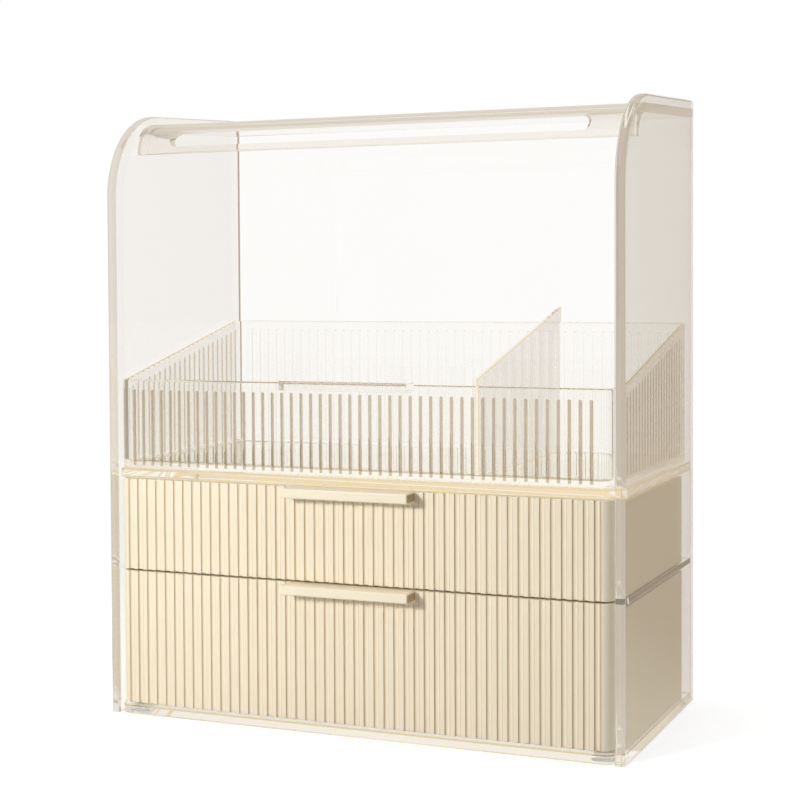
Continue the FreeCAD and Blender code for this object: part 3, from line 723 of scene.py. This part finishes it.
def screws(node, name, body):
    """Pan-head screws with a driver slot, along Y."""
    low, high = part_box(node)
    middle_z = (low.z + high.z) / 2
    head_y = high.y - 1.3 * MM
    # half of the section: out from the axis, and along it
    section = ((0, low.y), (SCREW_SHANK * 0.4, low.y), (SCREW_SHANK, low.y + 1.2 * MM),
               (SCREW_SHANK, head_y), (SCREW_HEAD, head_y), (SCREW_HEAD, head_y + 0.5 * MM),
               (SCREW_HEAD * 0.75, head_y + 1.05 * MM), (SCREW_HEAD * 0.4, high.y - 0.05 * MM), (0, high.y))
    bm = bmesh.new()
    for x in (low.x + SCREW_HEAD, high.x - SCREW_HEAD):
        line = [bm.verts.new((x + out, y, middle_z)) for out, y in section]
        edges = [bm.edges.new(pair) for pair in zip(line, line[1:])]
        bmesh.ops.spin(bm, geom=line + edges, cent=(x, 0, middle_z), axis=(0, 1, 0),
                       angle=2 * math.pi, steps=32, use_merge=True)
    bmesh.ops.remove_doubles(bm, verts=bm.verts, dist=WELD)
    bmesh.ops.recalc_face_normals(bm, faces=bm.faces)
    tool = bmesh.new()
    for x in (low.x + SCREW_HEAD, high.x - SCREW_HEAD):
        block(tool, (x - 1.5 * MM, high.y - 0.6 * MM, middle_z - 0.25 * MM),
              (x + 1.5 * MM, high.y + MM, middle_z + 0.25 * MM))
    bm = cut_away(bm, [tool])
    lay(bm, name, body, [STEEL], [node])


# ---------------------------------------------------------------- tray
def tray():
    """Clear ribbed tray whose side rims rise to a tall back wall."""
    low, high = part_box("tray_body")
    flat_x = high.x - TRAY_CORNER
    flat_y0, flat_y1 = low.y + TRAY_CORNER, high.y - TRAY_CORNER
    quarter = TRAY_CORNER * math.pi / 2
    turn = [quarter * k / 8 for k in range(1, 8)]
    front_count = int(2 * flat_x / FLUTE_PITCH) + 1
    front_first = -(front_count - 1) * FLUTE_PITCH / 2
    side_count = int((flat_y1 - flat_y0) / FLUTE_PITCH) + 1
    side_first = (flat_y0 + flat_y1) / 2 - (side_count - 1) * FLUTE_PITCH / 2
    across = flute_stations(front_first, front_count, FLUTE_PITCH, RIB_HALF, 4, -flat_x, flat_x)
    along = flute_stations(side_first, side_count, FLUTE_PITCH, RIB_HALF, 4, flat_y0, flat_y1)
    # each station: place on the outer wall, outward direction, depth of the hollow there
    stations = []

    def wall(places, point, outward, first, count):
        for p in places:
            near = min(max(round((p - first) / FLUTE_PITCH), 0), count - 1)
            off = abs(p - (first + near * FLUTE_PITCH))
            rounded = off / (FLUTE_PITCH / 2) - 1
            on_lands = first - RIB_HALF < p < first + count * FLUTE_PITCH - RIB_HALF
            crown = LAND_CROWN * rounded ** 2 if on_lands else 0
            hollow = crown + flute_depth(off, RIB_HALF, RIB_DEEP - LAND_CROWN)
            stations.append((point(p), outward, hollow))

    def corner(centre, start_angle):
        for t in turn:
            a = start_angle + t / TRAY_CORNER
            outward = Vector((math.cos(a), math.sin(a), 0))
            stations.append((centre + outward * TRAY_CORNER, outward, 0.0))

    wall(across, lambda p: Vector((p, low.y, 0)), Vector((0, -1, 0)), front_first, front_count)
    corner(Vector((flat_x, flat_y0, 0)), -math.pi / 2)
    wall(along, lambda p: Vector((high.x, p, 0)), Vector((1, 0, 0)), side_first, side_count)
    corner(Vector((flat_x, flat_y1, 0)), 0)
    wall(reversed(across), lambda p: Vector((p, high.y, 0)), Vector((0, 1, 0)), front_first, front_count)
    corner(Vector((-flat_x, flat_y1, 0)), math.pi / 2)
    wall(reversed(along), lambda p: Vector((low.x, p, 0)), Vector((-1, 0, 0)), side_first, side_count)
    corner(Vector((-flat_x, flat_y0, 0)), math.pi)

    slope = (high.z - low.z - TRAY_FRONT_RIM) / (flat_y1 - (low.y + RISE_START))

    def rim_height(y):
        behind = min(max(0.0, y - low.y - RISE_START), flat_y1 - low.y - RISE_START)
        return low.z + TRAY_FRONT_RIM + slope * behind

    # section of the wall, from the foot up and down again inside: how far in from the outer face, whether
    # its level goes up from "low" or down from the "rim", by how much, and the share of the hollow there
    foot, band = 1.5 * MM, 5.5 * MM
    soft = 0.9 * MM
    section = []
    for k in range(5):
        a = math.pi / 2 * k / 4
        section.append((1.2 * MM * (1 - math.sin(a)), "low", 1.2 * MM * (1 - math.cos(a)), 0.0))
    section += [(0.0, "low", foot, 0.0), (0.0, "low", foot + 0.2 * MM, 0.45),
                (0.0, "low", foot + 0.5 * MM, 0.75), (0.0, "low", foot + soft, 1.0)]
    section += [(0.0, "rim", band + soft, 1.0), (0.0, "rim", band + 0.5 * MM, 0.75),
                (0.0, "rim", band + 0.2 * MM, 0.45), (0.0, "rim", band, 0.0)]
    rim_rows = range(len(section) + 2, len(section) + 5)
    for k in range(7):
        a = math.pi * k / 6
        r = TRAY_WALL / 2
        section.append((r - r * math.cos(a), "rim", r - r * math.sin(a), 0.0))
    for k in range(6):
        a = math.pi / 2 * k / 5
        r = 2.0 * MM
        section.append((TRAY_WALL + r * (1 - math.cos(a)), "low", TRAY_FLOOR + r * (1 - math.sin(a)), 0.0))

    count = len(stations)
    bm = bmesh.new()
    bmesh.ops.create_grid(bm, x_segments=count, y_segments=len(section) - 1, size=0.5)
    row = {}
    for v in bm.verts:
        row[v] = round((v.co.y + 0.5) * (len(section) - 1))
        place, outward, hollow = stations[round((v.co.x + 0.5) * count) % count]
        inset, level, rise, ribbed = section[row[v]]
        z = low.z + rise if level == "low" else rim_height(place.y) - rise
        v.co = place - outward * (inset + hollow * ribbed) + Vector((0, 0, z))
        v.tag = hollow * ribbed > LAND_CROWN + TOUCH and outward.y < 0.5
    # the rib hollows of the front and sides get the painted dark refraction, the rim's top the painted amber
    # glint
    for face in bm.faces:
        on_rim = all(row[v] in rim_rows for v in face.verts)
        face.material_index = 2 if on_rim else int(sum(v.tag for v in face.verts) >= 2)
    bmesh.ops.remove_doubles(bm, verts=[v for v in bm.verts if v.is_boundary], dist=WELD)
    bmesh.ops.edgeloop_fill(bm, edges=[e for e in bm.edges if e.is_boundary])
    bmesh.ops.recalc_face_normals(bm, faces=bm.faces)
    lay(bm, "ribbed_tray", "tray", [TRAY_ACRYLIC, RIB_DARK_REFRACTION_ACRYLIC, AMBER_GLINT_ACRYLIC], ["tray_body"])


def tray_divider():
    """Drop-in plate across the tray, with a tab over the front rim and one over the back rim."""
    low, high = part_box("tray_divider")
    tray_low, tray_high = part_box("tray_body")
    front_rim = tray_low.z + TRAY_FRONT_RIM
    back_rim = tray_high.z
    front_in = low.y + TRAY_WALL + DIVIDER_PLAY
    back_in = high.y - TRAY_WALL - DIVIDER_PLAY
    bm = bmesh.new()
    face = flat_face(bm, [
        (low.x, front_in, low.z + JOINT_GAP), (low.x, back_in, low.z + JOINT_GAP),
        (low.x, back_in, back_rim + JOINT_GAP), (low.x, high.y, back_rim + JOINT_GAP),
        (low.x, high.y, high.z), (low.x, low.y, front_rim + DIVIDER_TAB),
        (low.x, low.y, front_rim + JOINT_GAP), (low.x, front_in, front_rim + JOINT_GAP)])
    push_out(bm, [face], Vector((high.x - low.x, 0, 0)))
    rims = [e for e in bm.edges if abs(e.verts[0].co.x - e.verts[1].co.x) < NEAR]
    # painted amber glint on its polished edges
    for face in bevel(bm, rims, DIVIDER_POLISH, 3)["faces"]:
        face.material_index = 1
    lay(bm, "drop_in_divider", "tray", [TRAY_ACRYLIC, AMBER_GLINT_ACRYLIC], ["tray_divider"])


side_panel(-1, "left_side_panel")
side_panel(1, "right_side_panel")
back_panel()
top_cover()
polished_plate("tray_shelf", "clear_tray_shelf", PLATE_CORNER, 1.1 * MM, True)
polished_plate("base_plate", "clear_base", PLATE_CORNER, 0.8 * MM, True)
polished_plate("drawer_shelf", "clear_drawer_shelf", 0.0, 0.3 * MM, False)
foot_pads()
for level in ("lower", "upper"):
    drawer = level + "_drawer"
    drawer_front(drawer, level + "_fluted_front", level + "_drawer_front")
    drawer_box(drawer, level + "_cream_box", level + "_drawer_box")
    pull_bar(level + "_drawer_pull", level + "_cream_pull", drawer, CREAM, 0.0)
    screws(level + "_pull_screws", level + "_pull_pan_screws", drawer)
    screws(level + "_front_screws", level + "_front_pan_screws", drawer)
tray()
tray_divider()
pull_bar("tray_pull", "clear_tray_pull", "tray", TRAY_ACRYLIC, JOINT_GAP)


# ---------------------------------------------------------------- floor, light and camera
def room(f, direction):
    """Colour of the studio's walls in a direction, for mirrored rays: white in front, warm behind."""
    level = f.add("ShaderNodeVectorMath", {"operation": "MULTIPLY"}, {0: direction, 1: (1, 1, 0)})
    flat = f.add("ShaderNodeVectorMath", {"operation": "NORMALIZE"}, {0: level})
    split = f.add("ShaderNodeSeparateXYZ", {}, {0: flat})
    side, depth = f.num(split, 0), f.num(split, 1)
    walls = f.ramp(side * 0.5 + 0.5, (0.0, (0.35, 0.30, 0.22)), (0.20, (0.40, 0.34, 0.25)),
                   (0.25, (1, 1, 1)), (0.52, (1, 1, 1)), (0.54, (0.10, 0.08, 0.06)),
                   (0.57, (0.10, 0.08, 0.06)), (0.60, (0.42, 0.33, 0.24)), (0.80, (0.44, 0.35, 0.26)),
                   (1.0, (0.62, 0.55, 0.45)))
    return f.mix(depth > -0.2, (1, 1, 1, 1), walls)


def floor():
    """Pale paper: white to the camera and in clear plastic, and it keeps the shadow."""
    bm = bmesh.new()
    bmesh.ops.create_grid(bm, x_segments=1, y_segments=1, size=15.0)
    plane = as_object(bm, "pale_floor")
    f = material("floor_paper")
    cloud = f.noise(3.0, 2.0)
    grey = f.between(cloud, (0.50, 0.49, 0.48), (0.52, 0.51, 0.50))
    paper = f.add("ShaderNodeBsdfDiffuse", {}, {"Color": grey})
    soft = f.add("ShaderNodeBsdfDiffuse", {}, {"Color": (0.50, 0.50, 0.50, 1)})
    glow = f.add("ShaderNodeEmission", {}, {"Color": (1, 1, 1, 1), "Strength": 0.72})
    shadowed = f.add("ShaderNodeAddShader", {}, {0: soft, 1: glow})
    where = f.add("ShaderNodeTexCoord").outputs["Object"]
    mirrored = f.num(f.add("ShaderNodeLightPath"), "Glossy Depth") > 0.5
    shown = f.mix(mirrored, (1, 1, 1, 1), room(f, where))
    clean = f.add("ShaderNodeEmission", {}, {"Color": shown, "Strength": 1.0})
    away = f.num(f.add("ShaderNodeVectorMath", {"operation": "LENGTH"}, {0: where}), 1)
    far = f.num(f.add("ShaderNodeMapRange", {"interpolation_type": "SMOOTHSTEP"},
                      {0: away, 1: 0.25, 2: 0.75}))
    white = f.add("ShaderNodeMixShader", {}, {
        0: far.maths("MAXIMUM", far, mirrored), 1: shadowed, 2: clean})
    seen = f.add("ShaderNodeMixShader", {}, {0: f.seen_background(), 1: paper, 2: white})
    f.add("ShaderNodeOutputMaterial", {}, {"Surface": seen})
    plane.data.materials.append(f.owner)


def studio_world():
    """White to the camera and through clear plastic; a plain fill as light; a studio in mirrored edges."""
    world = bpy.data.worlds.new("studio")
    bpy.context.scene.world = world
    f = Finish(world)
    where = f.add("ShaderNodeTexCoord").outputs["Generated"]
    split = f.add("ShaderNodeSeparateXYZ", {}, {0: where})
    depth, height = f.num(split, 1), f.num(split, 2)
    fill = f.ramp(height * 0.5 + 0.5, (0.0, (0.11, 0.11, 0.11)), (0.50, (0.17, 0.17, 0.17)),
                  (0.75, (0.25, 0.25, 0.25)), (1.0, (0.60, 0.60, 0.60)))
    ceiling = f.ramp(depth * 0.5 + 0.5, (0.0, (1, 1, 1)), (0.40, (1, 1, 1)), (0.41, (0.40, 0.34, 0.29)),
                     (0.45, (0.42, 0.36, 0.30)), (0.50, (0.52, 0.46, 0.38)), (0.60, (0.58, 0.53, 0.45)),
                     (0.75, (0.74, 0.69, 0.60)), (1.0, (0.80, 0.75, 0.66)))
    studio = f.mix(height > 0.4, room(f, where), ceiling)
    mirrored = f.num(f.add("ShaderNodeLightPath"), "Glossy Depth") > 0.5
    shown = f.mix(mirrored, (1, 1, 1, 1), studio)
    back = f.add("ShaderNodeBackground", {}, {"Color": f.mix(f.seen_background(), fill, shown),
                                              "Strength": 1.0})
    f.add("ShaderNodeOutputWorld", {}, {"Surface": back})


def lamp(name, where, aim, size, power):
    """Soft white box light that isn't seen itself."""
    data = bpy.data.lights.new(name, "AREA")
    data.shape = "RECTANGLE"
    data.size, data.size_y = size
    data.energy = power
    made = bpy.data.objects.new(name, data)
    made.location = where
    made.rotation_mode = "QUATERNION"
    made.rotation_quaternion = (Vector(aim) - Vector(where)).to_track_quat("-Z", "Y")
    made.visible_camera = False
    made.visible_transmission = False
    made.visible_glossy = False
    bpy.context.scene.collection.objects.link(made)


def camera():
    forward = Vector((-math.sin(CAMERA_YAW), math.cos(CAMERA_YAW), 0))
    right = Vector((math.cos(CAMERA_YAW), math.sin(CAMERA_YAW), 0))
    up = Vector((0, 0, 1))
    ahead = forward * math.cos(CAMERA_PITCH) - up * math.sin(CAMERA_PITCH)
    above = forward * math.sin(CAMERA_PITCH) + up * math.cos(CAMERA_PITCH)
    x_axis = right * math.cos(CAMERA_ROLL) + above * math.sin(CAMERA_ROLL)
    y_axis = above * math.cos(CAMERA_ROLL) - right * math.sin(CAMERA_ROLL)
    data = bpy.data.cameras.new("camera")
    data.sensor_width = 36
    data.lens = CAMERA_LENS
    data.shift_x, data.shift_y = CAMERA_SHIFT
    data.clip_end = 100
    made = bpy.data.objects.new("camera", data)
    turn = Matrix((x_axis, y_axis, -ahead)).transposed()
    made.matrix_world = Matrix.Translation(CAMERA_PLACE) @ turn.to_4x4()
    bpy.context.scene.collection.objects.link(made)
    bpy.context.scene.camera = made


floor()
studio_world()
lamp("key", (-0.32, -0.82, 0.38), (0, -0.05, 0.12), (0.10, 0.12), 5.2)
lamp("overhead", (0, 0, 1.3), (0, 0, 0), (0.7, 0.6), 4.5)
camera()
bpy.context.scene.view_settings.view_transform = "Standard"
